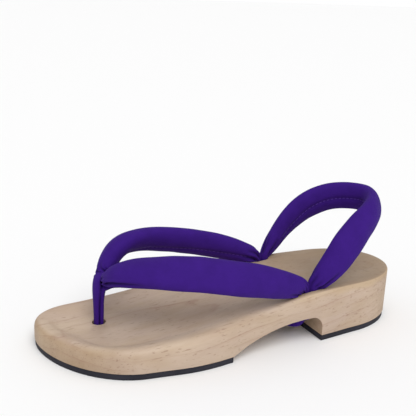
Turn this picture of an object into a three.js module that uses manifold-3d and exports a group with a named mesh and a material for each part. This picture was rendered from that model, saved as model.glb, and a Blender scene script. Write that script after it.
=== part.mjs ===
// A left geta sandal: a foot-shaped wooden sole on two rubber soles, a pair of
// padded thong straps, the thong between the toes and a padded strap round the heel.
// Millimetres. +Z up, toe towards -Y, outer side of the left foot towards +X,
// origin on the floor under the middle of the sole.
import * as THREE from "three";
import { mergeVertices } from "three/addons/utils/BufferGeometryUtils.js";
import Module from "manifold-3d";

const wasm = await Module();
wasm.setup();

// ---------------------------------------------------------------- sizes
const sole = {
  length: 245,
  rubber: 3.8, // thickness of the rubber soles
  glueGap: 0.2,
  rimFlat: 1.2, // width of the crest between that edge and the footbed
  rimSlope: 13, // width of the slope from the crest down to the footbed
  outlineSteps: 56, // points along each side
};

// Plan of the sole. lateral and medial are the distances of the two sides from the axis,
// before the toe and the heel are rounded off.
const plan = [
  { fromToe: 28, lateral: 41.0, medial: 44.4 },
  { fromToe: 50, lateral: 41.8, medial: 44.8 },
  { fromToe: 75, lateral: 44.9, medial: 44.9 },
  { fromToe: 90, lateral: 44.8, medial: 44.0 },
  { fromToe: 105, lateral: 42.7, medial: 42.4 },
  { fromToe: 120, lateral: 40.4, medial: 40.0 },
  { fromToe: 140, lateral: 39.1, medial: 37.2 },
  { fromToe: 165, lateral: 38.8, medial: 35.6 },
  { fromToe: 182, lateral: 37.4, medial: 35.0 },
  { fromToe: 197, lateral: 35.6, medial: 34.6 },
];

// Each end is a superellipse that grows from the tip to the full width.
const ends = {
  toe: {
    tip: -20.5,
    lateral: { reach: 50, power: 1.8 },
    medial: { reach: 27, power: 2.5 },
  },
  heel: {
    tip: -1,
    lateral: { reach: 50, power: 2.04 },
    medial: { reach: 46, power: 2.1 },
  },
};

// Side view of the sole. rim is the height of the crest round the edge, drop is how far
// the footbed lies below it, lean is how far the wall draws in from top to bottom, and
// round is the radius of the upper edge, worn soft in front and crisp at the heel.
const profile = [
  { fromToe: 0, rim: 15.5, drop: 3.0, lean: 0, round: 4.0 },
  { fromToe: 20, rim: 16.8, drop: 3.4, lean: 0, round: 4.2 },
  { fromToe: 40, rim: 17.9, drop: 3.8, lean: 0, round: 4.2 },
  { fromToe: 60, rim: 19.6, drop: 3.8, lean: 0, round: 4.2 },
  { fromToe: 80, rim: 22.2, drop: 3.2, lean: 0, round: 4.2 },
  { fromToe: 100, rim: 25.3, drop: 2.4, lean: 0, round: 4.0 },
  { fromToe: 120, rim: 28.3, drop: 1.7, lean: 0, round: 3.6 },
  { fromToe: 140, rim: 31.3, drop: 1.3, lean: 0, round: 3.0 },
  { fromToe: 160, rim: 34.2, drop: 1.4, lean: 0, round: 2.2 },
  { fromToe: 177, rim: 35.3, drop: 1.8, lean: 0.2, round: 1.7 },
  { fromToe: 200, rim: 35.2, drop: 2.2, lean: 0.3, round: 1.5 },
  { fromToe: 245, rim: 34.8, drop: 1.8, lean: 0.3, round: 1.5 },
];

// The waist is sawn away from below between the two rubber soles.
const waist = {
  frontEnd: 104.5, // back edge of the forefoot rubber
  heelFront: 171.3, // front face of the heel block
  crown: 17.9, // height of the sawn surface at the heel end
  corner: 8.5, // radius where it meets the heel block
};
const waistRamp = [
  { fromToe: 115, up: 8.6 },
  { fromToe: 123.5, up: 11.6 },
  { fromToe: 132, up: 14.0 },
  { fromToe: 140, up: 15.8 },
  { fromToe: 148, up: 17.1 },
  { fromToe: 156, up: 17.8 },
];

// Strap holes. The toe hole opens into a pocket below, where the thong's knot sits.
const toeHole = { across: -14, fromToe: 38, radius: 4.4 };
const toePocket = { ...toeHole, radius: 10.5 };
const pocketTop = 10.2;
const sideSlot = { across: 31, fromToe: 162.4, halfWidth: 3.9, halfLength: 6.9 };
const tail = { radius: 3.1, spacing: 6.6 };
const seat = 0.35; // gap between cloth and wood

const y = (fromToe) => fromToe - sole.length / 2;
const woodBottom = sole.rubber + sole.glueGap;

// ---------------------------------------------------------------- helpers
// Smooth interpolation of one column of a table of rows sorted by fromToe.
function read(table, name, at, key = "fromToe") {
  const last = table.length - 1;
  if (at <= table[0][key]) return table[0][name];
  if (at >= table[last][key]) return table[last][name];
  const slope = (i) => {
    const a = table[Math.max(i - 1, 0)];
    const b = table[Math.min(i + 1, last)];
    return (b[name] - a[name]) / (b[key] - a[key]);
  };
  const i = table.findIndex((row) => row[key] > at) - 1;
  const [a, b] = [table[i], table[i + 1]];
  const span = b[key] - a[key];
  const t = (at - a[key]) / span;
  const [t2, t3] = [t * t, t * t * t];
  return (
    (2 * t3 - 3 * t2 + 1) * a[name] +
    (t3 - 2 * t2 + t) * span * slope(i) +
    (3 * t2 - 2 * t3) * b[name] +
    (t3 - t2) * span * slope(i + 1)
  );
}

const lean = (fromToe) => read(profile, "lean", fromToe);
const edgeRound = (fromToe) => read(profile, "round", fromToe);

const rounding = (fromTip, { reach, power }) =>
  fromTip >= reach ? 1 : (1 - (1 - fromTip / reach) ** power) ** (1 / power);

// Distance across of one side of the outline, +X lateral and -X medial.
function edgeAt(side, fromToe) {
  const sign = side === "lateral" ? 1 : -1;
  const full = sign * read(plan, side, fromToe);
  const toHeel = sole.length - fromToe;
  if (fromToe < ends.toe[side].reach) {
    const grown = rounding(fromToe, ends.toe[side]);
    return ends.toe.tip + (full - ends.toe.tip) * grown;
  }
  const grown = rounding(toHeel, ends.heel[side]);
  return ends.heel.tip + (full - ends.heel.tip) * grown;
}

// The outline as a closed loop, up the lateral side from the toe and back down the medial.
function outlineLoop(inset) {
  const loop = [];
  for (const side of ["lateral", "medial"]) {
    for (let i = 0; i < sole.outlineSteps; i++) {
      const swing = (Math.PI * i) / sole.outlineSteps;
      const fraction = (1 - Math.cos(swing)) / 2;
      const fromToe = sole.length * (side === "lateral" ? fraction : 1 - fraction);
      loop.push(new THREE.Vector2(edgeAt(side, fromToe), y(fromToe)));
    }
  }
  if (!inset) return loop;
  return loop.map((point, i) => {
    const before = loop[(i - 1 + loop.length) % loop.length];
    const after = loop[(i + 1) % loop.length];
    const along = after.clone().sub(before).normalize();
    const by = inset(point.y + sole.length / 2);
    return new THREE.Vector2(point.x - along.y * by, point.y + along.x * by);
  });
}

// A closed mesh as a solid for joining and cutting.
function solidOf(geometry) {
  const bare = geometry.clone();
  bare.deleteAttribute("normal");
  bare.deleteAttribute("uv");
  const merged = mergeVertices(bare, 1e-4);
  return new wasm.Manifold(
    new wasm.Mesh({
      numProp: 3,
      vertProperties: merged.attributes.position.array,
      triVerts: new Uint32Array(merged.index.array),
    }),
  );
}

function geometryOf(solid) {
  const { numProp, numVert, vertProperties, triVerts } = solid.getMesh();
  const points = new Float32Array(numVert * 3);
  for (let i = 0; i < numVert; i++) {
    points.set(vertProperties.subarray(i * numProp, i * numProp + 3), i * 3);
  }
  return new THREE.BufferGeometry()
    .setAttribute("position", new THREE.BufferAttribute(points, 3))
    .setIndex(new THREE.BufferAttribute(triVerts, 1));
}

// Skins a stack of closed rings with the same number of points, and caps both ends.
function skin(rings) {
  const around = rings[0].length;
  const points = rings.flat().flatMap((p) => [p.x, p.y, p.z]);
  const faces = [];
  for (let r = 0; r + 1 < rings.length; r++) {
    for (let i = 0; i < around; i++) {
      const [a, b] = [r * around + i, r * around + ((i + 1) % around)];
      faces.push(a, b, b + around, a, b + around, a + around);
    }
  }
  for (const end of [0, rings.length - 1]) {
    const centre = points.length / 3;
    const middle = rings[end]
      .reduce((sum, p) => sum.add(p), new THREE.Vector3())
      .divideScalar(around);
    points.push(middle.x, middle.y, middle.z);
    for (let i = 0; i < around; i++) {
      const [a, b] = [end * around + i, end * around + ((i + 1) % around)];
      faces.push(...(end ? [a, b, centre] : [b, a, centre]));
    }
  }
  return new THREE.BufferGeometry()
    .setAttribute("position", new THREE.Float32BufferAttribute(points, 3))
    .setIndex(faces);
}

// A prism of a flat outline between two heights.
function prism(loop, low, high) {
  return new THREE.ExtrudeGeometry(new THREE.Shape(loop), {
    depth: high - low,
    bevelEnabled: false,
    steps: 1,
  }).translate(0, 0, low);
}

// A vertical round pin or hole cutter.
function rod({ across, fromToe, radius }, low, high, sides = 24) {
  return new THREE.CylinderGeometry(radius, radius, high - low, sides)
    .rotateX(Math.PI / 2)
    .translate(across, y(fromToe), (low + high) / 2);
}

// A vertical bar with round ends, running along the sole: halfWidth across, halfLength along.
function roundBar({ across, fromToe, halfWidth, halfLength }, low, high) {
  const shape = new THREE.Shape();
  const straight = halfLength - halfWidth;
  shape.absarc(across, y(fromToe) + straight, halfWidth, 0, Math.PI);
  shape.absarc(across, y(fromToe) - straight, halfWidth, Math.PI, 2 * Math.PI);
  return new THREE.ExtrudeGeometry(shape, {
    depth: high - low,
    bevelEnabled: false,
    curveSegments: 8,
  }).translate(0, 0, low);
}

// ---------------------------------------------------------------- wooden sole
// Rings from the bottom edge, up the side, over the rounded edge, down into the footbed and
// in to a spine line. Each ring point moves from its outline point towards the spine.
function footbedBlank() {
  const loop = outlineLoop();
  const spine = (point) => {
    const [front, back] = [y(30), y(sole.length - 34)];
    const along = THREE.MathUtils.clamp(point.y, front, back);
    const fromToe = along + sole.length / 2;
    const middle = (edgeAt("lateral", fromToe) + edgeAt("medial", fromToe)) / 2;
    return new THREE.Vector2(middle, along);
  };
  const ring = (inset, height) =>
    loop.map((point) => {
      const target = spine(point);
      const reach = point.distanceTo(target);
      const share = Math.min(inset(reach, point.y + sole.length / 2) / reach, 1);
      const at = point.clone().lerp(target, share);
      const fromToe = at.y + sole.length / 2;
      return new THREE.Vector3(at.x, at.y, height(fromToe));
    });
  const rim = (fromToe) => read(profile, "rim", fromToe);
  const drop = (fromToe) => read(profile, "drop", fromToe);
  const rings = [
    ring((reach) => reach, () => woodBottom),
    ring((reach) => reach * 0.5, () => woodBottom),
    ring((reach, fromToe) => lean(fromToe), () => woodBottom),
    ring(() => 0, (at) => rim(at) - edgeRound(at)),
  ];
  const edgeSteps = 4;
  for (let i = 1; i <= edgeSteps; i++) {
    const turn = (Math.PI / 2) * (i / edgeSteps);
    rings.push(
      ring(
        (reach, fromToe) => edgeRound(fromToe) * (1 - Math.cos(turn)),
        (at) => rim(at) - edgeRound(at) * (1 - Math.sin(turn)),
      ),
    );
  }
  const crest = (fromToe) => edgeRound(fromToe) + sole.rimFlat;
  const slopeSteps = 5;
  for (let i = 0; i <= slopeSteps; i++) {
    const t = i / slopeSteps;
    const fall = t * t * (3 - 2 * t);
    rings.push(
      ring(
        (reach, fromToe) => crest(fromToe) + sole.rimSlope * t,
        (at) => rim(at) - drop(at) * fall,
      ),
    );
  }
  for (const share of [0.68, 0.84, 1]) {
    rings.push(
      ring(
        (reach, fromToe) => Math.max(reach * share, crest(fromToe) + sole.rimSlope),
        (at) => rim(at) - drop(at),
      ),
    );
  }
  return skin(rings);
}

// The saw cut under the waist, as a side view extruded across the sole.
function waistCut() {
  const past = 20;
  const low = -5;
  const side = new THREE.Shape();
  side.moveTo(y(waist.frontEnd), low);
  side.lineTo(y(waist.heelFront), low);
  side.lineTo(y(waist.heelFront), waist.crown - waist.corner);
  side.absarc(
    y(waist.heelFront) - waist.corner,
    waist.crown - waist.corner,
    waist.corner,
    0,
    Math.PI / 2,
  );
  for (const { fromToe, up } of [...waistRamp].reverse()) side.lineTo(y(fromToe), up);
  side.lineTo(y(waist.frontEnd), woodBottom);
  return new THREE.ExtrudeGeometry(side, {
    depth: 90 + 2 * past,
    bevelEnabled: false,
    curveSegments: 8,
  })
    .applyMatrix4(
      new THREE.Matrix4().makeBasis(
        new THREE.Vector3(0, 1, 0),
        new THREE.Vector3(0, 0, 1),
        new THREE.Vector3(1, 0, 0),
      ),
    )
    .translate(-45 - past, 0, 0);
}

function woodenSole(blank) {
  const mirrored = { ...sideSlot, across: -sideSlot.across };
  return [
    waistCut(),
    rod(toeHole, 0, 40),
    rod(toePocket, 0, pocketTop, 32),
    roundBar(sideSlot, 5, 45),
    roundBar(mirrored, 5, 45),
  ].reduce((wood, cut) => wood.subtract(solidOf(cut)), blank);
}

// ---------------------------------------------------------------- rubber soles
function rubberSole(from, to) {
  const inset = (fromToe) => 0.4 + lean(fromToe);
  const band = new THREE.BoxGeometry(200, to - from, sole.rubber * 3);
  band.translate(0, y((from + to) / 2), 0);
  return solidOf(prism(outlineLoop(inset), 0, sole.rubber)).intersect(solidOf(band));
}

// ---------------------------------------------------------------- straps
// A padded strap follows rows of a table: across, fromToe and up are the centre line, width
// and thick the section. Its broad side faces the foot, whose axis the section turns round.
function paddedStrap(rows, faceAway, steps, sides = 14) {
  const path = new THREE.CatmullRomCurve3(
    rows.map((r) => new THREE.Vector3(r.across, y(r.fromToe), r.up)),
    false,
    "centripetal",
  );
  const sizes = rows.map((r, i) => ({ at: i / (rows.length - 1), ...r }));
  const rings = [];
  for (let s = 0; s <= steps; s++) {
    const at = s / steps;
    const centre = path.getPoint(at);
    const along = path.getTangent(at);
    const out = centre.clone().sub(faceAway(centre));
    out.addScaledVector(along, -out.dot(along)).normalize();
    const broad = new THREE.Vector3().crossVectors(out, along);
    const halfWidth = read(sizes, "width", at, "at") / 2;
    const halfThick = read(sizes, "thick", at, "at") / 2;
    const ring = [];
    for (let i = 0; i < sides; i++) {
      const turn = (2 * Math.PI * i) / sides;
      ring.push(
        centre
          .clone()
          .addScaledVector(broad, halfWidth * Math.cos(turn))
          .addScaledVector(out, halfThick * Math.sin(turn)),
      );
    }
    rings.push(ring);
  }
  return solidOf(skin(rings));
}

// The foot's own axis, which the thong straps arch over.
const footAxis = (point) => new THREE.Vector3(-2, point.y, 20 + 0.08 * (point.y + 80));
// The ankle's axis, which the heel strap turns round.
const ankleAxis = (point) => new THREE.Vector3(0, y(196), point.z - 6);

const neck = { across: -14, fromToe: 42.4, up: 41.2, width: 7.8, thick: 7 };
const lateralStrap = [
  neck,
  { across: -9.8, fromToe: 43.9, up: 43.2, width: 13.5, thick: 11 },
  { across: -5, fromToe: 46.2, up: 46.7, width: 18, thick: 14 },
  { across: 2, fromToe: 50.2, up: 50.2, width: 21.5, thick: 16 },
  { across: 10.5, fromToe: 56.5, up: 53.2, width: 22.5, thick: 16.2 },
  { across: 19, fromToe: 64.5, up: 55.3, width: 23, thick: 15.4 },
  { across: 26, fromToe: 73, up: 56.3, width: 23, thick: 14.5 },
  { across: 31, fromToe: 83, up: 56.1, width: 22.5, thick: 14 },
  { across: 35, fromToe: 95.5, up: 54.4, width: 22, thick: 14 },
  { across: 37, fromToe: 109, up: 51.6, width: 21.5, thick: 14 },
  { across: 37, fromToe: 124, up: 48, width: 20.6, thick: 13.5 },
  { across: 35.8, fromToe: 137.5, up: 43.7, width: 18.4, thick: 13 },
  { across: 33.8, fromToe: 148, up: 40.2, width: 15.8, thick: 12 },
  { across: 31.9, fromToe: 155.4, up: 37.5, width: 13, thick: 10.5 },
  { across: 31.2, fromToe: 158.9, up: 34, width: 9, thick: 7.4 },
];
const medialStrap = [
  neck,
  { across: -18, fromToe: 43, up: 43.9, width: 15, thick: 10.2 },
  { across: -21.4, fromToe: 46.4, up: 49.4, width: 17.6, thick: 12.2 },
  { across: -25, fromToe: 52, up: 55.2, width: 19.5, thick: 13 },
  { across: -29, fromToe: 60, up: 58.2, width: 21, thick: 13.5 },
  { across: -32.3, fromToe: 68.5, up: 58.4, width: 22, thick: 13.5 },
  { across: -34.9, fromToe: 79, up: 57.4, width: 22.5, thick: 13.5 },
  { across: -36.6, fromToe: 92, up: 55.2, width: 22, thick: 14 },
  { across: -37, fromToe: 107, up: 52.2, width: 21.5, thick: 14 },
  { across: -36.8, fromToe: 122, up: 48.4, width: 20.6, thick: 13.5 },
  { across: -35.8, fromToe: 137.5, up: 43.8, width: 18.6, thick: 13 },
  { across: -33.8, fromToe: 148, up: 40.4, width: 16, thick: 12 },
  { across: -31.9, fromToe: 155.4, up: 37.6, width: 13, thick: 10.5 },
  { across: -31.2, fromToe: 158.9, up: 34, width: 9, thick: 7.4 },
];
const heelStrapSide = [
  { across: 31.4, fromToe: 167.2, up: 36.6, width: 9.8, thick: 7.6 },
  { across: 32.8, fromToe: 171.8, up: 41.8, width: 14.2, thick: 10 },
  { across: 34, fromToe: 178.6, up: 50, width: 17.6, thick: 11 },
  { across: 33.3, fromToe: 188, up: 60.8, width: 20.8, thick: 11 },
  { across: 30.5, fromToe: 198.9, up: 70.3, width: 21.4, thick: 11 },
  { across: 25, fromToe: 211, up: 76.7, width: 20.4, thick: 11.4 },
  { across: 15, fromToe: 222, up: 79.8, width: 19.8, thick: 11 },
];
const heelStrapBack = { across: 0, fromToe: 228.5, up: 80.8, width: 19.5, thick: 11 };
const mirror = (row) => ({ ...row, across: -row.across });

// Below the wood each tail bends in towards the middle of the sole.
const thongTailEnd = [
  { across: 31, fromToe: 159.1, up: 19, width: 6, thick: 6 },
  { across: 30.2, fromToe: 158.6, up: 13.7, width: 7, thick: 5.8 },
  { across: 25.5, fromToe: 157.4, up: 9.7, width: 8.8, thick: 5.4 },
  { across: 17, fromToe: 154.2, up: 8.8, width: 9, thick: 4.6 },
];
const heelTailEnd = [
  { across: 31, fromToe: 165.7, up: 19, width: 6, thick: 6 },
  { across: 30, fromToe: 165.4, up: 15.6, width: 5.6, thick: 5.2 },
  { across: 24, fromToe: 164.6, up: 13, width: 6.4, thick: 4.6 },
  { across: 15, fromToe: 163.2, up: 12.2, width: 6.4, thick: 4.4 },
];
const belowSole = (point) => point.clone().add(new THREE.Vector3(0, 0, 20));

// The thong is a loop round the neck whose foot, in front of it, stands on the post.
const thongLoop = [
  { fromNeck: -4.4, up: 35.4, width: 6.4, thick: 2.8 },
  { fromNeck: -5.6, up: 38.4, width: 6.4, thick: 2.6 },
  { fromNeck: -5.4, up: 42, width: 6.4, thick: 2.6 },
  { fromNeck: -3.9, up: 45, width: 6.4, thick: 2.6 },
  { fromNeck: 0, up: 46.2, width: 6.4, thick: 2.6 },
  { fromNeck: 3.9, up: 45, width: 6.4, thick: 2.6 },
  { fromNeck: 5.4, up: 41.8, width: 6.4, thick: 2.6 },
  { fromNeck: 4, up: 38, width: 6.4, thick: 2.6 },
  { fromNeck: 0.2, up: 35.6, width: 6.4, thick: 2.6 },
  { fromNeck: -3.2, up: 34.8, width: 6.4, thick: 2.4 },
];

const root = new THREE.Group();
const wood = new THREE.MeshStandardMaterial({ color: 0xcdb48f, roughness: 0.6 });
const rubber = new THREE.MeshStandardMaterial({ color: 0x2a2a30, roughness: 0.75 });
const purpleCloth = new THREE.MeshStandardMaterial({ color: 0x3c1a80, roughness: 0.85 });

function addPiece(name, solid, material) {
  const mesh = new THREE.Mesh(geometryOf(solid), material);
  mesh.name = name;
  root.add(mesh);
}

const joinAll = (solids) => solids.reduce((sum, next) => sum.add(next));

// The vertical tails in the two side slots, at one end of each slot, and what hangs below.
function tails(fromToe, endRows) {
  const pins = [1, -1].map((side) =>
    solidOf(
      rod({ across: side * sideSlot.across, fromToe, radius: tail.radius }, 17, 38, 14),
    ),
  );
  const ends = [endRows, endRows.map(mirror)].map((rows) =>
    paddedStrap(rows, belowSole, 10, 10),
  );
  return joinAll([...pins, ...ends]);
}

function thongLoopSolid(grow) {
  const rows = thongLoop.map((row) => ({
    across: neck.across,
    fromToe: neck.fromToe + row.fromNeck,
    up: row.up,
    width: row.width + 2 * grow,
    thick: row.thick + 2 * grow,
  }));
  const middle = new THREE.Vector3(neck.across, y(neck.fromToe), neck.up);
  return paddedStrap(rows, () => middle, 32, 12);
}

const thongPost = 3.6; // radius of the post
const postTop = 36.2;

function toeThong() {
  const post = solidOf(rod({ ...toeHole, radius: thongPost }, 7, postTop, 18));
  const knot = new THREE.SphereGeometry(7.5, 20, 10).scale(1, 1, 0.34);
  knot.translate(toeHole.across, y(toeHole.fromToe), 7.2);
  return joinAll([post, solidOf(knot), thongLoopSolid(0)]);
}

function thongStraps(blank) {
  const round = new THREE.SphereGeometry(3.6, 16, 10);
  round.translate(neck.across, y(neck.fromToe), neck.up);
  const postRoom = rod({ ...toeHole, radius: thongPost + seat }, 7, postTop + seat, 18);
  return joinAll([
    solidOf(round),
    paddedStrap(lateralStrap, footAxis, 40),
    paddedStrap(medialStrap, footAxis, 40),
  ])
    .subtract(blank.translate([0, 0, seat]))
    .subtract(thongLoopSolid(seat))
    .subtract(solidOf(postRoom))
    .add(tails(sideSlot.fromToe - tail.spacing / 2, thongTailEnd));
}

function heelStrap(blank) {
  const rows = [
    ...heelStrapSide,
    heelStrapBack,
    ...[...heelStrapSide].reverse().map(mirror),
  ];
  return paddedStrap(rows, ankleAxis, 56)
    .subtract(blank.translate([0, 0, seat]))
    .add(tails(sideSlot.fromToe + tail.spacing / 2, heelTailEnd));
}

const blank = solidOf(footbedBlank());
const forefoot = rubberSole(-1, waist.frontEnd);
addPiece("wooden_sole", woodenSole(blank), wood);
addPiece(
  "forefoot_rubber",
  forefoot.subtract(solidOf(rod(toePocket, -1, 6, 32))),
  rubber,
);
addPiece("heel_rubber", rubberSole(waist.heelFront, sole.length + 1), rubber);
addPiece("thong_straps", thongStraps(blank), purpleCloth);
addPiece("heel_strap", heelStrap(blank), purpleCloth);
addPiece("toe_thong", toeThong(), purpleCloth);

export default root;
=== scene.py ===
# Left geta sandal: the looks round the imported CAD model. Metres, +Z up, toe to -Y.
import math

import bmesh
import bpy
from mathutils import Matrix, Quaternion, Vector, noise


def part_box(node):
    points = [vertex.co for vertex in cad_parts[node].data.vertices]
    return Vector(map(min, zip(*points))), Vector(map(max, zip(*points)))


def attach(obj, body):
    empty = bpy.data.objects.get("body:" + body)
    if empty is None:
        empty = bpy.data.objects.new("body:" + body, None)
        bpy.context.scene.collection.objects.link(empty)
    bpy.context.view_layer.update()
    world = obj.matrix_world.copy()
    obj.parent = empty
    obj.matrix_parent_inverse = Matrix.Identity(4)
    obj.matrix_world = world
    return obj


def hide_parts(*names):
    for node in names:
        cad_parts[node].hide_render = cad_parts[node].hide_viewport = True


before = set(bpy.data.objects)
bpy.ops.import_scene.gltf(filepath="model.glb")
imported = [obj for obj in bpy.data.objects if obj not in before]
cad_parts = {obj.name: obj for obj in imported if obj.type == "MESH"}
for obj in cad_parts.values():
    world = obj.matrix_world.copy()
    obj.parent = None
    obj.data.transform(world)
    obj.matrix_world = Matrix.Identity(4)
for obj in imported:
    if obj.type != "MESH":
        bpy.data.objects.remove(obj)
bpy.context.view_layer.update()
scene = bpy.context.scene
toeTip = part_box("wooden_sole")[0].y  # the sole's front end
mm = 0.001

cameraSetup = {
    "target": (-25.2, -5.2, 77.7),  # mm, the middle of the view
    "azimuth": 63.44,  # degrees from the toe towards the lateral side
    "elevation": 16.17,
    "roll": 2.05,
    "distance": 479.3,  # mm
    "lens": 62.5,
    "nearClip": 10.0,  # mm
}
studio = {
    "floorSize": 160.0,  # m, wide enough for its edge to stay out of sight
    "floorColour": (0.94, 0.94, 0.94, 1),
    "floorRoughness": 0.9,
    "skyStrength": 0.66,
    "sunStrength": 1.55,
    "sunAzimuth": 82.0,  # degrees, from the lateral side and a little from the toe
    "sunElevation": 54.0,
    "sunAngle": 42.0,  # degrees across, a broad soft source
}


def directionTo(azimuth, elevation):
    # a unit vector, the azimuth counted from the toe towards the lateral side
    turn, rise = math.radians(azimuth), math.radians(elevation)
    return Vector((math.sin(turn) * math.cos(rise), -math.cos(turn) * math.cos(rise),
                   math.sin(rise)))


def addCamera():
    look = cameraSetup
    back = directionTo(look["azimuth"], look["elevation"])
    target = Vector(look["target"]) * mm
    bpy.ops.object.camera_add(location=target + back * look["distance"] * mm)
    camera = bpy.context.object
    camera.name = "camera"
    camera.rotation_mode = "QUATERNION"
    roll = Quaternion((0, 0, 1), math.radians(look["roll"]))
    camera.rotation_quaternion = (-back).to_track_quat("-Z", "Y") @ roll
    camera.data.lens = look["lens"]
    camera.data.clip_start = look["nearClip"] * mm
    scene.camera = camera


def addStudio():
    look = studio
    bpy.ops.mesh.primitive_plane_add(size=look["floorSize"])
    floor = bpy.context.object
    floor.name = "floor"
    floor.data.materials.append(
        plainMaterial("paleFloor", look["floorColour"], look["floorRoughness"]))
    world = bpy.data.worlds.new("studioSky")
    world.use_nodes = True
    tree = world.node_tree
    sky = tree.nodes["Background"]
    sky.inputs["Color"].default_value = (1, 1, 1, 1)
    seen = addNode(tree, "ShaderNodeLightPath").outputs["Is Camera Ray"]
    strength = maths(tree, "MULTIPLY_ADD", seen, 1 - look["skyStrength"],
                     look["skyStrength"])  # the backdrop itself is white
    tree.links.new(strength, sky.inputs["Strength"])
    scene.world = world
    toward = directionTo(look["sunAzimuth"], look["sunElevation"])
    bpy.ops.object.light_add(type="SUN", location=toward)
    sun = bpy.context.object
    sun.name = "softKey"
    sun.data.energy = look["sunStrength"]
    sun.data.angle = math.radians(look["sunAngle"])
    sun.rotation_euler = (-toward).to_track_quat("-Z", "Y").to_euler()
    scene.view_settings.view_transform = "Standard"


def addNode(tree, kind, settings=None, inputs=None):
    made = tree.nodes.new(kind)
    for key, value in (settings or {}).items():
        setattr(made, key, value)
    for key, value in (inputs or {}).items():
        if isinstance(value, bpy.types.NodeSocket):
            tree.links.new(value, made.inputs[key])
        else:
            made.inputs[key].default_value = value
    return made


def maths(tree, operation, first, second=0.0, third=0.0, clamp=False):
    made = addNode(tree, "ShaderNodeMath", {"operation": operation, "use_clamp": clamp},
                   {0: first, 1: second, 2: third})
    return made.outputs[0]


def masked(tree, value, gain, lift):
    # a value turned into a mask from 0 to 1
    return maths(tree, "MULTIPLY_ADD", value, gain, lift, clamp=True)


def greyRamp(tree, factor, stops):
    made = addNode(tree, "ShaderNodeValToRGB", None, {"Fac": factor})
    elements = made.color_ramp.elements
    for spare in list(elements)[1:]:
        elements.remove(spare)
    elements[0].position = stops[0][0]
    elements[0].color = (stops[0][1],) * 3 + (1,)
    for place, tone in stops[1:]:
        elements.new(place).color = (tone, tone, tone, 1)
    return made.outputs["Color"]


def mixColour(tree, factor, first, second, blend="MIX"):
    # inputs 6 and 7 and output 2 are the node's colours
    made = addNode(tree, "ShaderNodeMix", {"data_type": "RGBA", "blend_type": blend},
                   {"Factor": factor, 6: first, 7: second})
    return made.outputs[2]


def noiseOf(tree, vector, scale, detail=2.0, roughness=0.5):
    made = addNode(tree, "ShaderNodeTexNoise", None, {
        "Vector": vector, "Scale": scale, "Detail": detail, "Roughness": roughness})
    return made.outputs["Fac"]


def stretched(tree, vector, scale, turn=(0, 0, 0), place=(0, 0, 0)):
    made = addNode(tree, "ShaderNodeMapping", None, {
        "Vector": vector, "Scale": scale, "Rotation": turn, "Location": place})
    return made.outputs["Vector"]


def partsOf(tree, vector):
    return addNode(tree, "ShaderNodeSeparateXYZ", None, {0: vector}).outputs


def newGroup(name, inputs, outputs):
    group = bpy.data.node_groups.new(name, "ShaderNodeTree")
    for way, sockets in (("INPUT", inputs), ("OUTPUT", outputs)):
        for label, kind in sockets:
            group.interface.new_socket(label, in_out=way, socket_type="NodeSocket" + kind)
    start = group.nodes.new("NodeGroupInput")
    end = group.nodes.new("NodeGroupOutput")
    return group, start.outputs, end.inputs


def placeGroup(tree, group, inputs):
    return addNode(tree, "ShaderNodeGroup", {"node_tree": group}, inputs).outputs


def newMaterial(name):
    material = bpy.data.materials.new(name)
    material.use_nodes = True
    tree = material.node_tree
    return material, tree, tree.nodes["Principled BSDF"]


def plainMaterial(name, colour, roughness):
    material, tree, shader = newMaterial(name)
    shader.inputs["Base Color"].default_value = colour
    shader.inputs["Roughness"].default_value = roughness
    return material


def bumpOf(tree, height, strength, distance):
    made = addNode(tree, "ShaderNodeBump", None, {
        "Height": height, "Strength": strength, "Distance": distance})
    return made.outputs["Normal"]


woodLook = {
    "pith": (0.012, 0.0, -0.085),  # m, a point on the tree's middle, below the sole
    "tilt": (-0.085, 0.0, 0.02),  # the grain rises a little towards the heel
    "ringSpacing": 0.0062,  # m
    "sway": 0.013,  # m that the rings wander slowly
    "waver": 0.0028,  # m that they wander quickly
    "ringTones": [(0.0, 0.12), (0.6, 0.1), (0.86, 0.38), (0.95, 1.0), (1.0, 0.12)],
    "cream": (0.605, 0.475, 0.352, 1),
    "pink": (0.525, 0.405, 0.318, 1),
    "tan": (0.47, 0.345, 0.23, 1),
    "line": (0.35, 0.20, 0.14, 1),
    "pore": (0.25, 0.135, 0.085, 1),
    "warm": (0.52, 0.375, 0.215, 1),  # the heel's outer layer, under its top edge
    "endGrainAndShadeTone": (0.82, 0.765, 0.67, 1),  # the end grain's own darker tone together with painted shade on faces turned to the toe and heel
    "footbed": (0.66, 0.64, 0.635, 1),  # painted shade on the heel's top face, where the foot would shade it
    "tanShare": 0.62,
    "lineShare": 0.62,
    "streakShare": 0.17,
    "fibreShare": 0.35,
    "poreShare": 0.5,
    "speckShare": 0.5,
    "warmShare": 0.5,
    "warmWander": 0.006,  # m that the warm layer's lower edge wanders
    "bump": 0.25,
    "bumpDepth": 0.0004,  # m
    "roughness": 0.56,
    "roughnessSpread": 0.16,
}
# Noises along the grain. along is the scale that way, less than 1 where they are drawn out.
woodNoises = {
    "sway": {"along": 0.16, "scale": 26, "detail": 2},
    "waver": {"along": 0.3, "scale": 120, "detail": 2},
    "fibres": {"along": 0.035, "scale": 950, "detail": 3, "roughness": 0.65},
    "streaks": {"along": 0.09, "scale": 260, "detail": 3, "roughness": 0.6},
    "patches": {"along": 0.4, "scale": 34, "detail": 2},
    "clouds": {"along": 0.34, "scale": 105, "detail": 3, "place": (5, 4, 9)},
    "breaks": {"along": 0.12, "scale": 90, "detail": 2, "place": (3, 1, 2)},
    "crowds": {"along": 0.5, "scale": 48, "detail": 2, "place": (2, 6, 3)},
    "pores": {"along": 0.11, "scale": 1300, "detail": 1, "place": (7, 2, 5)},
    "specks": {"along": 0.5, "scale": 520, "detail": 2, "place": (1, 8, 4)},
}
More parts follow.
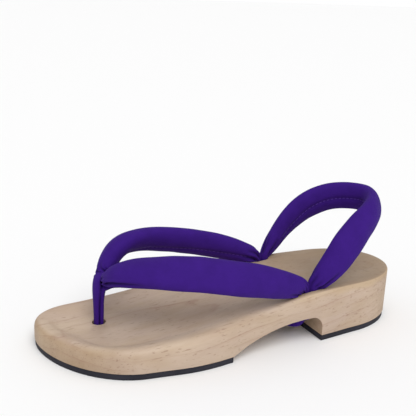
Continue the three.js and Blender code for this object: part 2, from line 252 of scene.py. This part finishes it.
# Gain and lift of the masks: first those of noises, then those of place and facing.
woodMasks = {
    "fibres": (0.5, -0.12),
    "streaks": (2.0, -0.8),
    "patches": (3.0, -1.0),
    "clouds": (3.2, -1.25),
    "breaks": (3.0, -1.05),
    "pores": (9.0, -5.7),
    "cutAcross": (2.2, -0.5),
    "upward": (4.0, -2.6),
    "atHeel": (14.0, 0.1),
    "outer": (260.0, -8.4),
}
speckLook = {"gain": 9.0, "crowding": 2.6, "moreToHeel": 4.0, "lift": -7.2}
woodRelief = {"fibres": 0.5, "pores": -0.6, "lines": 0.25}


def grainNoise(tree, vector, along, scale, detail, roughness=0.5, place=(0, 0, 0)):
    return noiseOf(tree, stretched(tree, vector, (1, along, 1), place=place), scale,
                   detail, roughness)


def growthLines(group, turned, noises):
    # dark late wood, once a ring, from the distance to the pith
    flat = addNode(group, "ShaderNodeVectorMath", {"operation": "MULTIPLY"},
                   {0: turned, 1: (1, 0, 1)}).outputs[0]
    radius = addNode(group, "ShaderNodeVectorMath", {"operation": "LENGTH"},
                     {0: flat}).outputs["Value"]
    for name in ("sway", "waver"):
        radius = maths(group, "MULTIPLY_ADD", noises[name], woodLook[name], radius)
    ring = maths(group, "FRACT", maths(group, "DIVIDE", radius, woodLook["ringSpacing"]))
    return greyRamp(group, ring, woodLook["ringTones"])


def woodGroup():
    look = woodLook
    group, start, end = newGroup(
        "solidWood", [("Vector", "Vector"), ("Normal", "Vector")],
        [("Colour", "Color"), ("Height", "Float"), ("Roughness", "Float")])
    turned = stretched(group, start["Vector"], (1, 1, 1), look["tilt"],
                       [-c for c in look["pith"]])
    noises = {name: grainNoise(group, turned, **row) for name, row in woodNoises.items()}
    masks = {name: masked(group, noises[name], *row)
             for name, row in woodMasks.items() if name in noises}
    masks["lines"] = maths(group, "MULTIPLY", growthLines(group, turned, noises),
                           masks["breaks"], clamp=True)
    place = partsOf(group, start["Vector"])
    facing = partsOf(group, start["Normal"])
    heelward = maths(group, "MULTIPLY_ADD", place["Y"], speckLook["moreToHeel"],
                     speckLook["lift"])
    masks["specks"] = masked(
        group, noises["specks"], speckLook["gain"],
        maths(group, "MULTIPLY_ADD", noises["crowds"], speckLook["crowding"], heelward))
    atHeel = masked(group, place["Y"], *woodMasks["atHeel"])
    wandering = maths(group, "MULTIPLY_ADD", noises["clouds"], look["warmWander"],
                      place["Z"])
    masks["outer"] = maths(group, "MULTIPLY", atHeel,
                           masked(group, wandering, *woodMasks["outer"]))
    colour = mixColour(group, masks["patches"], look["cream"], look["pink"])
    for mask, share, name in (("clouds", "tanShare", "tan"), ("lines", "lineShare", "line"),
                              ("streaks", "streakShare", "pore"),
                              ("fibres", "fibreShare", "line"),
                              ("pores", "poreShare", "pore"),
                              ("specks", "speckShare", "pore"),
                              ("outer", "warmShare", "warm")):
        colour = mixColour(group, maths(group, "MULTIPLY", masks[mask], look[share]),
                           colour, look[name])
    # darker on faces turned to the toe and heel: the end grain's own tone and painted shade
    cutAcross = masked(group, maths(group, "ABSOLUTE", facing["Y"]),
                       *woodMasks["cutAcross"])
    # painted shade on the upward faces at the heel, where the foot would shade them
    paintedFootShadeMask = maths(group, "MULTIPLY", masked(group, facing["Z"], *woodMasks["upward"]),
                    atHeel)
    colour = mixColour(group, cutAcross, colour, look["endGrainAndShadeTone"], "MULTIPLY")
    colour = mixColour(group, paintedFootShadeMask, colour, look["footbed"], "MULTIPLY")
    height = maths(group, "MULTIPLY", masks["lines"], woodRelief["lines"])
    height = maths(group, "MULTIPLY_ADD", masks["pores"], woodRelief["pores"], height)
    height = maths(group, "MULTIPLY_ADD", noises["fibres"], woodRelief["fibres"], height)
    rough = maths(group, "MULTIPLY_ADD", noises["fibres"], look["roughnessSpread"],
                  look["roughness"] - look["roughnessSpread"] / 2)
    group.links.new(colour, end["Colour"])
    group.links.new(height, end["Height"])
    group.links.new(rough, end["Roughness"])
    return group


def woodMaterial():
    material, tree, shader = newMaterial("paleWood")
    place = addNode(tree, "ShaderNodeTexCoord").outputs["Object"]
    facing = addNode(tree, "ShaderNodeNewGeometry").outputs["Normal"]
    grain = placeGroup(tree, woodGroup(), {"Vector": place, "Normal": facing})
    tree.links.new(grain["Colour"], shader.inputs["Base Color"])
    tree.links.new(grain["Roughness"], shader.inputs["Roughness"])
    tree.links.new(bumpOf(tree, grain["Height"], woodLook["bump"], woodLook["bumpDepth"]),
                   shader.inputs["Normal"])
    return material


rubberLook = {
    "dark": (0.019, 0.0185, 0.0265, 1),
    "worn": (0.030, 0.029, 0.041, 1),
    "wear": {"scale": 60, "detail": 3},
    "wearMask": (2.2, -0.75),  # gain and lift
    "grit": {"scale": 2600, "detail": 2, "roughness": 0.6},
    "bump": 0.35,
    "bumpDepth": 0.0002,  # m
    "roughness": 0.62,
    "roughnessSpread": 0.2,
    "specular": 0.2,
}


def rubberMaterial():
    look = rubberLook
    material, tree, shader = newMaterial("blackRubber")
    place = addNode(tree, "ShaderNodeTexCoord").outputs["Object"]
    wear = masked(tree, noiseOf(tree, place, **look["wear"]), *look["wearMask"])
    grit = noiseOf(tree, place, **look["grit"])
    rough = maths(tree, "MULTIPLY_ADD", grit, look["roughnessSpread"],
                  look["roughness"] - look["roughnessSpread"] / 2)
    tree.links.new(mixColour(tree, wear, look["dark"], look["worn"]),
                   shader.inputs["Base Color"])
    tree.links.new(rough, shader.inputs["Roughness"])
    tree.links.new(bumpOf(tree, grit, look["bump"], look["bumpDepth"]),
                   shader.inputs["Normal"])
    shader.inputs["Specular IOR Level"].default_value = look["specular"]
    return material


clothLook = {
    "base": (0.0445, 0.0105, 0.208, 1),
    "deep": (0.0345, 0.0080, 0.164, 1),
    "shade": (0.012, 0.003, 0.055, 1),  # painted shade deep in a crease
    "creaseShadeStrength": 0.75,
    "patches": {"scale": 110, "detail": 3, "roughness": 0.6},
    "patchGain": 1.5,
    "slubGain": 0.5,
    "lift": -0.5,
    "thread": 0.00042,  # m, width of one thread
    "slub": {"scale": 900, "detail": 2, "roughness": 0.6},
    "slubHeight": 0.5,
    "threadColour": (0.085, 0.035, 0.29, 1),
    "stitch": 0.0032,  # m from stitch to stitch
    "stitchShare": 0.62,  # of that length is thread, the rest is gap
    "stitchHalfWidth": 0.0003,  # m
    "stitchHeight": 2.0,
    "bump": 0.30,
    "bumpDepth": 0.00012,  # m
    "roughness": 0.78,
    "specular": 0.09,
    "sheen": 0.025,
    "sheenRoughness": 0.4,
    "sheenTint": (0.55, 0.45, 0.85, 1),
}


def weaveGroup():
    group, start, end = newGroup("plainWeave", [("UV", "Vector")],
                                 [("Height", "Float"), ("Slub", "Float")])
    parts = partsOf(group, start["UV"])
    waves = []
    for axis in ("X", "Y"):
        turns = maths(group, "DIVIDE", parts[axis], clothLook["thread"])
        waves.append(maths(group, "SINE", maths(group, "MULTIPLY", turns, math.pi)))
    over = maths(group, "MULTIPLY", waves[0], waves[1])  # which thread lies on top
    warp = maths(group, "ABSOLUTE", waves[0])
    weft = maths(group, "ABSOLUTE", waves[1])
    top = maths(group, "GREATER_THAN", over, 0.0)
    threads = addNode(group, "ShaderNodeMix", {"data_type": "FLOAT"},
                      {"Factor": top, 2: warp, 3: weft}).outputs[0]
    slub = noiseOf(group, start["UV"], **clothLook["slub"])
    height = maths(group, "MULTIPLY_ADD", slub, clothLook["slubHeight"], threads)
    group.links.new(height, end["Height"])
    group.links.new(slub, end["Slub"])
    return group


def stitchGroup():
    look = clothLook
    group, start, end = newGroup("seamStitches", [("UV", "Vector")], [("Mask", "Float")])
    parts = partsOf(group, start["UV"])
    seam = strapLook["girth"] * mm * strapLook["seamAngle"] / 360
    off = maths(group, "ABSOLUTE", maths(group, "SUBTRACT", parts["Y"], seam))
    near = maths(group, "LESS_THAN", off, look["stitchHalfWidth"])
    along = maths(group, "FRACT", maths(group, "DIVIDE", parts["X"], look["stitch"]))
    thread = maths(group, "LESS_THAN", along, look["stitchShare"])
    group.links.new(maths(group, "MULTIPLY", near, thread), end["Mask"])
    return group


def clothMaterial():
    look = clothLook
    material, tree, shader = newMaterial("purpleCloth")
    uv = addNode(tree, "ShaderNodeUVMap", {"uv_map": "strap"}).outputs["UV"]
    weave = placeGroup(tree, weaveGroup(), {"UV": uv})
    stitch = placeGroup(tree, stitchGroup(), {"UV": uv})["Mask"]
    place = addNode(tree, "ShaderNodeTexCoord").outputs["Object"]
    slub = maths(tree, "MULTIPLY_ADD", weave["Slub"], look["slubGain"], look["lift"])
    worn = masked(tree, noiseOf(tree, place, **look["patches"]), look["patchGain"], slub)
    fold = addNode(tree, "ShaderNodeAttribute", {"attribute_name": "fold"}).outputs["Fac"]
    colour = mixColour(tree, worn, look["base"], look["deep"])
    # painted shade in the creases and along the seam, darker the deeper the cloth is drawn
    # in
    colour = mixColour(tree, maths(tree, "MULTIPLY", fold, look["creaseShadeStrength"]), colour,
                       look["shade"])
    colour = mixColour(tree, stitch, colour, look["threadColour"])
    height = maths(tree, "MULTIPLY_ADD", stitch, look["stitchHeight"], weave["Height"])
    tree.links.new(colour, shader.inputs["Base Color"])
    tree.links.new(bumpOf(tree, height, look["bump"], look["bumpDepth"]),
                   shader.inputs["Normal"])
    for label, key in (("Roughness", "roughness"), ("Specular IOR Level", "specular"),
                       ("Sheen Weight", "sheen"), ("Sheen Roughness", "sheenRoughness"),
                       ("Sheen Tint", "sheenTint")):
        shader.inputs[label].default_value = look[key]
    return material


soleFinish = {
    "wooden_sole": {"piece": "wood_sole", "slot": "wood", "bevel": 0.6},
    "forefoot_rubber": {"piece": "rubber_forefoot", "slot": "rubber", "bevel": 0.3},
    "heel_rubber": {"piece": "rubber_heel", "slot": "rubber", "bevel": 0.3},
}
edgeFinish = {
    "weld": 0.02,  # mm
    "flatWithin": 0.5,  # degrees between faces that become one
    "bevelOver": 38,  # degrees between faces with a softened edge
    "smoothUnder": 32,  # degrees between faces that are shaded as one
    "segments": 2,
}


def pickOnly(piece):
    bpy.ops.object.select_all(action="DESELECT")
    piece.select_set(True)
    bpy.context.view_layer.objects.active = piece


def finishSole(node, material):
    finish, edges = soleFinish[node], edgeFinish
    piece = bpy.data.objects.new(finish["piece"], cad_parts[node].data.copy())
    scene.collection.objects.link(piece)
    pickOnly(piece)
    bpy.ops.object.mode_set(mode="EDIT")
    bpy.ops.mesh.select_all(action="SELECT")
    bpy.ops.mesh.remove_doubles(threshold=edges["weld"] * mm)
    bpy.ops.mesh.dissolve_limited(angle_limit=math.radians(edges["flatWithin"]))
    bpy.ops.object.mode_set(mode="OBJECT")
    soften = piece.modifiers.new("softenEdges", "BEVEL")
    soften.width = finish["bevel"] * mm
    soften.segments = edges["segments"]
    soften.limit_method = "ANGLE"
    soften.angle_limit = math.radians(edges["bevelOver"])
    soften.harden_normals = False
    bpy.ops.object.modifier_apply(modifier=soften.name)
    bpy.ops.object.shade_smooth_by_angle(angle=math.radians(edges["smoothUnder"]))
    piece.data.materials.clear()
    piece.data.materials.append(material)
    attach(piece, "root")
    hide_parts(node)
    print("finished", piece.name, len(piece.data.polygons), "faces")


# Rows along a strap in millimetres: across, from the toe, up, width, thickness.
neckRow = (-14, 42.4, 41.2, 7.8, 7.0)
lateralRows = [
    (-9.8, 43.9, 43.2, 13.5, 11),
    (-5.0, 46.2, 46.7, 18, 14),
    (2, 50.2, 50.2, 21.5, 16),
    (10.5, 56.5, 53.2, 22.5, 16.2),
    (19, 64.5, 55.3, 23, 15.4),
    (26, 73, 56.3, 23, 14.5),
    (31, 83, 56.1, 22.5, 14),
    (35, 95.5, 54.4, 22, 14),
    (37, 109, 51.6, 21.5, 14),
    (37, 124, 48.0, 20.6, 13.5),
    (35.8, 137.5, 43.7, 18.4, 13),
    (33.8, 148, 40.2, 15.8, 12),
    (31.9, 155.4, 37.5, 13, 10.5),
    (31.2, 158.9, 34.0, 9, 7.4),
]
medialRows = [
    (-18.0, 43.0, 43.9, 15.0, 10.2),
    (-21.4, 46.4, 49.4, 17.6, 12.2),
    (-25, 52, 55.2, 19.5, 13),
    (-29, 60, 58.2, 21, 13.5),
    (-32.3, 68.5, 58.4, 22, 13.5),
    (-34.9, 79, 57.4, 22.5, 13.5),
    (-36.6, 92, 55.2, 22, 14),
    (-37, 107, 52.2, 21.5, 14),
    (-36.8, 122, 48.4, 20.6, 13.5),
    (-35.8, 137.5, 43.8, 18.6, 13),
    (-33.8, 148, 40.4, 16, 12),
    (-31.9, 155.4, 37.6, 13, 10.5),
    (-31.2, 158.9, 34.0, 9, 7.4),
]
thongTailRows = [
    (31, 159.2, 28.5, 6, 6),
    (31, 159.1, 20, 6, 6),
    (30.2, 158.6, 13.7, 7, 5.8),
    (25.5, 157.4, 9.7, 8.8, 5.4),
    (17, 154.2, 8.8, 9, 4.6),
]
heelRows = [
    (31.4, 167.2, 36.6, 9.8, 7.6),
    (32.8, 171.8, 41.8, 14.2, 10),
    (34, 178.6, 50, 17.6, 11),
    (33.3, 188, 60.8, 20.8, 11),
    (30.5, 198.9, 70.3, 21.4, 11),
    (25, 211, 76.7, 20.4, 11.4),
    (15, 222, 79.8, 19.8, 11),
    (0, 228.5, 80.8, 19.5, 11),
]
heelTailRows = [
    (31, 165.8, 31, 6, 6),
    (31, 165.7, 20, 6, 6),
    (30, 165.4, 15.6, 5.6, 5.2),
    (24, 164.6, 13, 6.4, 4.6),
    (15, 163.2, 12.2, 6.4, 4.4),
]
strapLook = {
    "around": 80,  # points round a tube
    "curveParts": 24,  # points of the curve from row to row
    "fineStep": 0.75,  # mm from ring to ring near a pinch
    "step": 2.0,  # mm from ring to ring elsewhere
    "fineUntil": (11, 24),  # mm from a pinch where the step grows from one to the other
    "girth": 60.0,  # mm of cloth round a strap, gathered where it narrows
    "uneven": 0.35,  # mm of slow unevenness in the stuffing
    "unevenScale": 75,
    "seamAngle": 270,  # degrees round the tube, on the inside
    "seamDepth": 0.7,
    "seamWidth": 1.0,
    "seamPower": 1.5,
    "deepest": 0.32,  # of the strap's size may be drawn in
    "foldFull": 1.6,  # mm drawn in where the painted crease shade is darkest
    "poleOff": 0.003,  # m, how far past the last ring the cloth of an end reaches
}
strapAxes = {  # mm, the lines that the straps turn their inner faces to
    "footAcross": -2,
    "footUp": 20,
    "footRise": 0.08,  # upward for each mm towards the heel
    "footFrom": -80,
    "ankleFromToe": 196,
    "ankleDown": 6,
}
# A crease: mm from the pinched end, its reach in mm, degrees round the tube, degrees it
# drifts, depth and half width in mm, and the lip that the cloth makes beside it.
neckCreases = [
    (7.0, 31, 210, -26, 3.4, 0.9, 0.9),
    (1.0, 12, 128, -10, 2.3, 0.8, 0.4),
    (1.0, 11, 92, 6, 2.2, 0.8, 0.4),
    (1.0, 10, 50, -6, 1.8, 0.9, 0.3),
    (1.0, 9, 10, 8, 1.6, 0.9, 0.3),
    (1.0, 10, 186, 10, 1.7, 0.6, 0.3),
    (1.0, 9, 160, 8, 1.6, 0.6, 0.3),
    (1.0, 14, 240, -6, 2.0, 1.0, 0.3),
    (1.0, 9, 275, 10, 1.6, 0.9, 0.3),
    (1.0, 10, 318, -8, 1.8, 0.9, 0.3),
]
rearCreases = [
    (0.8, 18, 148, -14, 2.8, 0.65, 0.6),
    (0.5, 12, 128, -8, 2.7, 0.55, 0.5),
    (0.5, 9, 108, 0, 2.4, 0.55, 0.5),
    (0.5, 6, 84, -4, 1.6, 0.6, 0.3),
    (0.5, 7, 48, 8, 1.2, 0.8, 0.2),
    (0.5, 10, 5, -8, 1.5, 0.9, 0.3),
    (1.0, 13, 192, 8, 1.6, 0.9, 0.4),
    (0.5, 11, 222, -8, 1.8, 0.9, 0.4),
    (0.5, 13, 262, 8, 1.8, 0.9, 0.4),
    (0.5, 10, 312, -8, 1.7, 0.9, 0.4),
]
heelCreases = [
    (0.5, 17, 133, -2, 3.2, 0.7, 0.6),
    (0.5, 12, 152, -4, 2.6, 0.7, 0.5),
    (0.5, 12, 172, 4, 1.3, 0.8, 0.2),
    (0.5, 8, 104, -6, 1.0, 0.8, 0.2),
    (0.5, 8, 60, -6, 1.0, 0.9, 0.2),
    (0.5, 10, 8, 8, 1.4, 0.9, 0.2),
    (0.5, 14, 245, -8, 2.0, 0.9, 0.3),
    (0.5, 11, 300, 8, 1.8, 0.9, 0.3),
]
creaseShape = {
    "lead": 2.5,  # mm before its beginning where a crease starts to show
    "full": 1.0,  # mm after it where it is full
    "fadePower": 0.8,
    "spread": 0.5,  # how much wider it is at its far end
    "valleyPower": 1.4,
    "lipPlace": 2.1,  # half widths from the valley to the lip
}


def mirrored(rows):
    return [(-row[0],) + tuple(row[1:]) for row in rows]


def rowPlace(row):
    return Vector((row[0] * mm, toeTip + row[1] * mm, row[2] * mm))


def hermite(before, first, second, after, t):
    t2, t3 = t * t, t * t * t
    return ((2 * t3 - 3 * t2 + 1) * first + (t3 - 2 * t2 + t) * (second - before) / 2
            + (3 * t2 - 2 * t3) * second + (t3 - t2) * (after - first) / 2)


def fineCurve(rows):
    # a smooth curve through the rows: distance, place and size at short steps
    places = [rowPlace(row) for row in rows]
    sizes = [Vector((row[3], row[4], 0)) * mm for row in rows]
    last = len(rows) - 1
    parts = strapLook["curveParts"]
    curve, gone = [], 0.0
    for i in range(last):
        around = [max(i - 1, 0), i, i + 1, min(i + 2, last)]
        for part in range(parts + (i == last - 1)):
            t = part / parts
            place = hermite(*[places[k] for k in around], t)
            if curve:
                gone += (place - curve[-1][1]).length
            curve.append((gone, place, hermite(*[sizes[k] for k in around], t)))
    return curve


def routeOf(rows, stepAt):
    # rings along the curve, stepAt(distance) mm apart
    curve = fineCurve(rows)
    rings = [0.0]
    for one, two in zip(curve, curve[1:]):
        rings.append(rings[-1] + (two[0] - one[0]) / (stepAt(one[0]) * mm))
    count = round(rings[-1])
    route, k = [], 0
    for n in range(count + 1):
        wanted = rings[-1] * n / count
        while k < len(curve) - 2 and rings[k + 1] < wanted:
            k += 1
        t = (wanted - rings[k]) / max(rings[k + 1] - rings[k], 1e-9)
        one, two = curve[k], curve[k + 1]
        route.append((one[0] + (two[0] - one[0]) * t, one[1].lerp(two[1], t),
                      one[2].lerp(two[2], t)))
    return route


def distanceAt(curve, row):
    place = rowPlace(row)
    return min(curve, key=lambda ring: (ring[1] - place).length)[0]


def smooth(low, high, value):
    t = min(max((value - low) / (high - low), 0), 1)
    return t * t * (3 - 2 * t)


def pinchDistance(gone, pinches):
    return min(abs(gone - pinch) for pinch in pinches) / mm


def stepNear(pinches):
    # short steps near the pinches, longer ones between them
    fine, coarse = strapLook["fineStep"], strapLook["step"]

    def step(gone):
        away = pinchDistance(gone, pinches)
        return fine + (coarse - fine) * smooth(*strapLook["fineUntil"], away)
    return step


def footAxis(place):
    axes = strapAxes
    rise = axes["footRise"] * (place.y - axes["footFrom"] * mm)
    return Vector((axes["footAcross"] * mm, place.y, axes["footUp"] * mm + rise))


def ankleAxis(place):
    return Vector((0, toeTip + strapAxes["ankleFromToe"] * mm,
                   place.z - strapAxes["ankleDown"] * mm))


def creaseDepth(crease, along, angle, radius):
    # how far a crease draws the cloth in, mm, at mm along it and degrees round the tube
    begin, reach, middle, drift, depth, width, lip = crease
    form = creaseShape
    t = (along - begin) / reach
    if t > 1:
        return 0.0
    fade = (smooth(begin - form["lead"], begin + form["full"], along)
            * (1 - max(t, 0)) ** form["fadePower"])
    turn = (angle - middle - drift * t + 180) % 360 - 180
    off = math.radians(turn) * radius
    wide = width * (1 + form["spread"] * max(t, 0))
    valley = math.exp(-abs(off / wide) ** form["valleyPower"])
    ridge = math.exp(-((abs(off) - form["lipPlace"] * wide) / wide) ** 2)
    return fade * (depth * valley - lip * ridge)


def drawnIn(gone, angle, size, creases, seam):
    # how far creases and seam draw the cloth in, mm
    look = strapLook
    radius = (size.x + size.y) / 4 / mm
    drawn = 0.0
    for start, direction, crease in creases:
        away = (gone - start) * direction / mm
        if crease[0] - creaseShape["lead"] < away < crease[0] + crease[1]:
            drawn += creaseDepth(crease, away, angle, radius)
    seamOff = math.radians(angle - look["seamAngle"]) * radius
    drawn += seam * math.exp(-abs(seamOff / look["seamWidth"]) ** look["seamPower"])
    return min(drawn, min(size.x, size.y) / mm * look["deepest"])


def tubePiece(name, route, faceAway, creases, girth, around, seam=0.0):
    # a closed tube of cloth: rings round the route, a pole at each end, UVs in metres
    look = strapLook
    shape = bmesh.new()
    uv = shape.loops.layers.uv.new("strap")
    fold = shape.verts.layers.float.new("fold")
    rings = []
    last = len(route) - 1
    for i, (gone, place, size) in enumerate(route):
        before, after = route[max(i - 1, 0)][1], route[min(i + 1, last)][1]
        along = (after - before).normalized()
        out = place - faceAway(place)
        out = (out - along * out.dot(along)).normalized()
        broad = out.cross(along)
        ring = []
        for k in range(around):
            angle = 360 * k / around
            level, rise = math.cos(math.radians(angle)), math.sin(math.radians(angle))
            radial = broad * size.x / 2 * level + out * size.y / 2 * rise
            normal = (broad * size.y * level + out * size.x * rise).normalized()
            drawn = drawnIn(gone, angle, size, creases, seam)
            uneven = noise.noise((place + radial) * look["unevenScale"]) * look["uneven"]
            made = shape.verts.new(place + radial - normal * (drawn + uneven) * mm)
            # how deep the cloth is drawn in here, which the cloth material uses for its
            # painted crease shade
            made[fold] = min(max(drawn / look["foldFull"], 0), 1)
            ring.append(made)
        rings.append(ring)

    def addFace(corners, marks):
        # each mark is a corner's distance along the cloth and its count round it
        face = shape.faces.new(corners)
        for loop, (far, count) in zip(face.loops, marks):
            loop[uv].uv = (far, girth * mm * count / around)

    for i in range(last):
        one, two = route[i][0], route[i + 1][0]
        for k in range(around):
            n = (k + 1) % around
            addFace((rings[i][k], rings[i][n], rings[i + 1][n], rings[i + 1][k]),
                    ((one, k), (one, k + 1), (two, k + 1), (two, k)))
    for i in (0, last):
        pole = shape.verts.new(sum((v.co for v in rings[i]), Vector()) / around)
        one = route[i][0]
        for k in range(around):
            addFace((rings[i][k], rings[i][(k + 1) % around], pole),
                    ((one, k), (one, k + 1), (one + look["poleOff"], k + 0.5)))
    bmesh.ops.recalc_face_normals(shape, faces=shape.faces)
    mesh = bpy.data.meshes.new(name)
    shape.to_mesh(mesh)
    shape.free()
    piece = bpy.data.objects.new(name, mesh)
    scene.collection.objects.link(piece)
    mesh.materials.append(cloth)
    mesh.shade_smooth()
    return piece


def refine(piece):
    # one level of subdivision, applied
    pickOnly(piece)
    finer = piece.modifiers.new("finer", "SUBSURF")
    finer.levels = finer.render_levels = 1
    bpy.ops.object.modifier_apply(modifier=finer.name)
    piece.data.shade_smooth()


settleLook = {
    "frames": 20,
    "quality": 5,
    "mass": 0.2,
    "pressure": 4.0,
    "stiffness": 22.0,
    "bending": 0.6,
    "heldUntil": (2, 9),  # mm from a pinch where the cloth goes from held to free
    "gather": 0.07,  # spare cloth near the pinched ends
    "gatherUntil": (8, 30),  # mm from a pinch where it ends
    "cap": 2.0,  # mm that a point may move
}


def ringWeights(route, around, weight):
    # the same weight for all points of a ring, the two poles last
    listed = [weight(gone) for gone, place, size in route for k in range(around)]
    return listed + [weight(route[0][0]), weight(route[-1][0])]


def settle(piece, route, around, ends, pinches):
    # stuff the cloth: pressure from within, pinched ends held, spare cloth gathering there
    look = settleLook

    def hold(gone):
        if gone < ends[0] or gone > ends[1]:
            return 1.0
        return 1 - smooth(*look["heldUntil"], pinchDistance(gone, pinches))

    def gather(gone):
        return 1 - smooth(*look["gatherUntil"], pinchDistance(gone, pinches))

    mesh = piece.data
    heldWeight = ringWeights(route, around, hold)
    held = piece.vertex_groups.new(name="held")
    spare = piece.vertex_groups.new(name="spare")
    for index, (share, extra) in enumerate(
            zip(heldWeight, ringWeights(route, around, gather))):
        held.add([index], share, "REPLACE")
        spare.add([index], extra, "REPLACE")
    before = [v.co.copy() for v in mesh.vertices]
    pickOnly(piece)
    stuffing = piece.modifiers.new("stuffing", "CLOTH")
    settings = stuffing.settings
    settings.quality = look["quality"]
    settings.mass = look["mass"]
    settings.tension_stiffness = look["stiffness"]
    settings.compression_stiffness = look["stiffness"]
    settings.shear_stiffness = look["stiffness"] / 2
    settings.bending_stiffness = look["bending"]
    settings.use_pressure = True
    settings.uniform_pressure_force = look["pressure"]
    settings.vertex_group_mass = held.name
    settings.vertex_group_shrink = spare.name
    settings.shrink_min = 0.0
    settings.shrink_max = -look["gather"]
    settings.effector_weights.gravity = 0
    stuffing.collision_settings.use_collision = False
    stuffing.point_cache.frame_start = 1
    stuffing.point_cache.frame_end = look["frames"]
    for n in range(1, look["frames"] + 1):
        scene.frame_set(n)
    bpy.ops.object.modifier_apply(modifier=stuffing.name)
    scene.frame_set(1)
    cap = look["cap"] * mm
    moved = 0.0
    for vertex, old, share in zip(mesh.vertices, before, heldWeight):
        move = (vertex.co - old) * (1 - share)
        moved = max(moved, move.length)
        if move.length > cap:
            move *= cap / move.length
        vertex.co = old + move
    print("settled", piece.name, "moved up to", round(moved / mm, 2), "mm")
    piece.vertex_groups.clear()
    refine(piece)


def finishStrap(piece, node):
    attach(piece, "root")
    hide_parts(node)
    print("finished", piece.name, len(piece.data.polygons), "faces")


def placed(creases, start, direction):
    return [(start, direction, crease) for crease in creases]


def addThongStraps():
    look = strapLook
    rows = (mirrored(thongTailRows)[::-1] + medialRows[::-1] + [neckRow] + lateralRows
            + thongTailRows)
    curve = fineCurve(rows)
    neck = distanceAt(curve, neckRow)
    ends = [distanceAt(curve, row) for row in (medialRows[-1], lateralRows[-1])]
    route = routeOf(rows, stepNear(ends + [neck]))
    # the first crease at the neck is on the lateral strap only
    creases = placed(neckCreases, neck, 1) + placed(neckCreases[1:], neck, -1)
    creases += placed(rearCreases, ends[0], 1) + placed(rearCreases, ends[1], -1)
    piece = tubePiece("thong_strap_pair", route, footAxis, creases, look["girth"],
                      look["around"], look["seamDepth"])
    settle(piece, route, look["around"], ends, ends + [neck])
    finishStrap(piece, "thong_straps")


def addHeelStrap():
    look = strapLook
    side = heelTailRows[::-1] + heelRows
    rows = side + mirrored(side[:-1])[::-1]
    curve = fineCurve(rows)
    ends = [distanceAt(curve, row) for row in (heelRows[0], mirrored(heelRows)[0])]
    route = routeOf(rows, stepNear(ends))
    flipped = [(c[0], c[1], 180 - c[2], -c[3]) + c[4:] for c in heelCreases]
    creases = placed(heelCreases, ends[0], 1) + placed(flipped, ends[1], -1)
    piece = tubePiece("heel_strap_padded", route, ankleAxis, creases, look["girth"],
                      look["around"], look["seamDepth"])
    settle(piece, route, look["around"], ends, ends)
    finishStrap(piece, "heel_strap")


# A flat padded band bent over the neck, both legs side by side down to the hole. Rows:
# from the neck along the foot, up, width, thickness, all mm.
thongLook = {
    "across": -14.0,
    "around": 32,
    "step": 0.8,
    "girth": 22.0,
    "legMiddle": -4.55,  # mm from the neck, between the two legs
    "bend": (32, 41),  # mm up, from the legs to the loop round the neck
}
thongBandRows = [
    (-6.0, 8.4, 6, 2.8),
    (-6.0, 14, 6, 2.8),
    (-6.0, 24, 6.4, 3.0),
    (-5.9, 31, 8, 3.8),
    (-5.6, 36, 8.8, 4.6),
    (-5.5, 40, 9, 4.4),
    (-5.1, 43.2, 9, 3.4),
    (-3.2, 45.1, 8.6, 2.6),
    (0, 45.8, 8.2, 2.4),
    (3.4, 45.0, 8.2, 2.6),
    (5.3, 42.0, 8.4, 3.0),
    (4.0, 38.6, 8.4, 3.8),
    (0.4, 37.5, 8.4, 4.6),
    (-2.2, 36.4, 8, 4.8),
    (-2.8, 30.5, 7, 3.5),
    (-3.0, 24, 6.4, 3.0),
    (-3.1, 14, 6, 2.8),
    (-3.1, 8.4, 6, 2.8),
]
knotLook = {
    "fromToe": 38.0,
    "up": 7.3,
    "radius": 3.8,
    "swing": 1.6,
    "rise": 1.1,
    "lobes": 1.5,  # swings in each turn
    "turns": 2,
    "wide": 3.6,
    "thick": 3.0,
    "rings": 120,
    "around": 20,
    "axisUp": 20.0,  # mm above the knot, where its band turns one face to
}


def insideBand(place):
    look = thongLook
    high = smooth(*[up * mm for up in look["bend"]], place.z)
    fromToe = neckRow[1] + look["legMiddle"] * (1 - high)
    return Vector((look["across"] * mm, toeTip + fromToe * mm,
                   min(place.z, neckRow[2] * mm)))


def addKnot():
    # the legs tied into a flat knot in the pocket under the sole
    look = knotLook
    middle = Vector((thongLook["across"] * mm, toeTip + look["fromToe"] * mm,
                     look["up"] * mm))
    size = Vector((look["wide"], look["thick"], 0)) * mm
    route, gone, before = [], 0.0, None
    for n in range(look["rings"] + 1):
        turn = 2 * look["turns"] * math.pi * n / look["rings"]
        reach = look["radius"] + look["swing"] * math.cos(look["lobes"] * turn)
        place = Vector((reach * math.cos(turn), reach * math.sin(turn),
                        look["rise"] * math.sin(look["lobes"] * turn))) * mm
        gone += (place - before).length if n else 0
        route.append((gone, middle + place, size))
        before = place

    def aboveKnot(place):
        return middle + Vector((0, 0, look["axisUp"] * mm))

    return tubePiece("toe_knot", route, aboveKnot, [], thongLook["girth"], look["around"])


def addToeThong():
    look = thongLook
    rows = [(look["across"], neckRow[1] + along, up, wide, thick)
            for along, up, wide, thick in thongBandRows]
    route = routeOf(rows, lambda gone: look["step"])
    piece = tubePiece("toe_thong_band", route, insideBand, [], look["girth"],
                      look["around"])
    knot = addKnot()
    pickOnly(piece)
    knot.select_set(True)
    bpy.ops.object.join()
    refine(piece)
    finishStrap(piece, "toe_thong")


print("camera and studio")
addCamera()
addStudio()
print("materials")
wood = woodMaterial()
rubber = rubberMaterial()
cloth = clothMaterial()
print("sole")
finishSole("wooden_sole", wood)
finishSole("forefoot_rubber", rubber)
finishSole("heel_rubber", rubber)
print("straps")
addThongStraps()
addHeelStrap()
addToeThong()
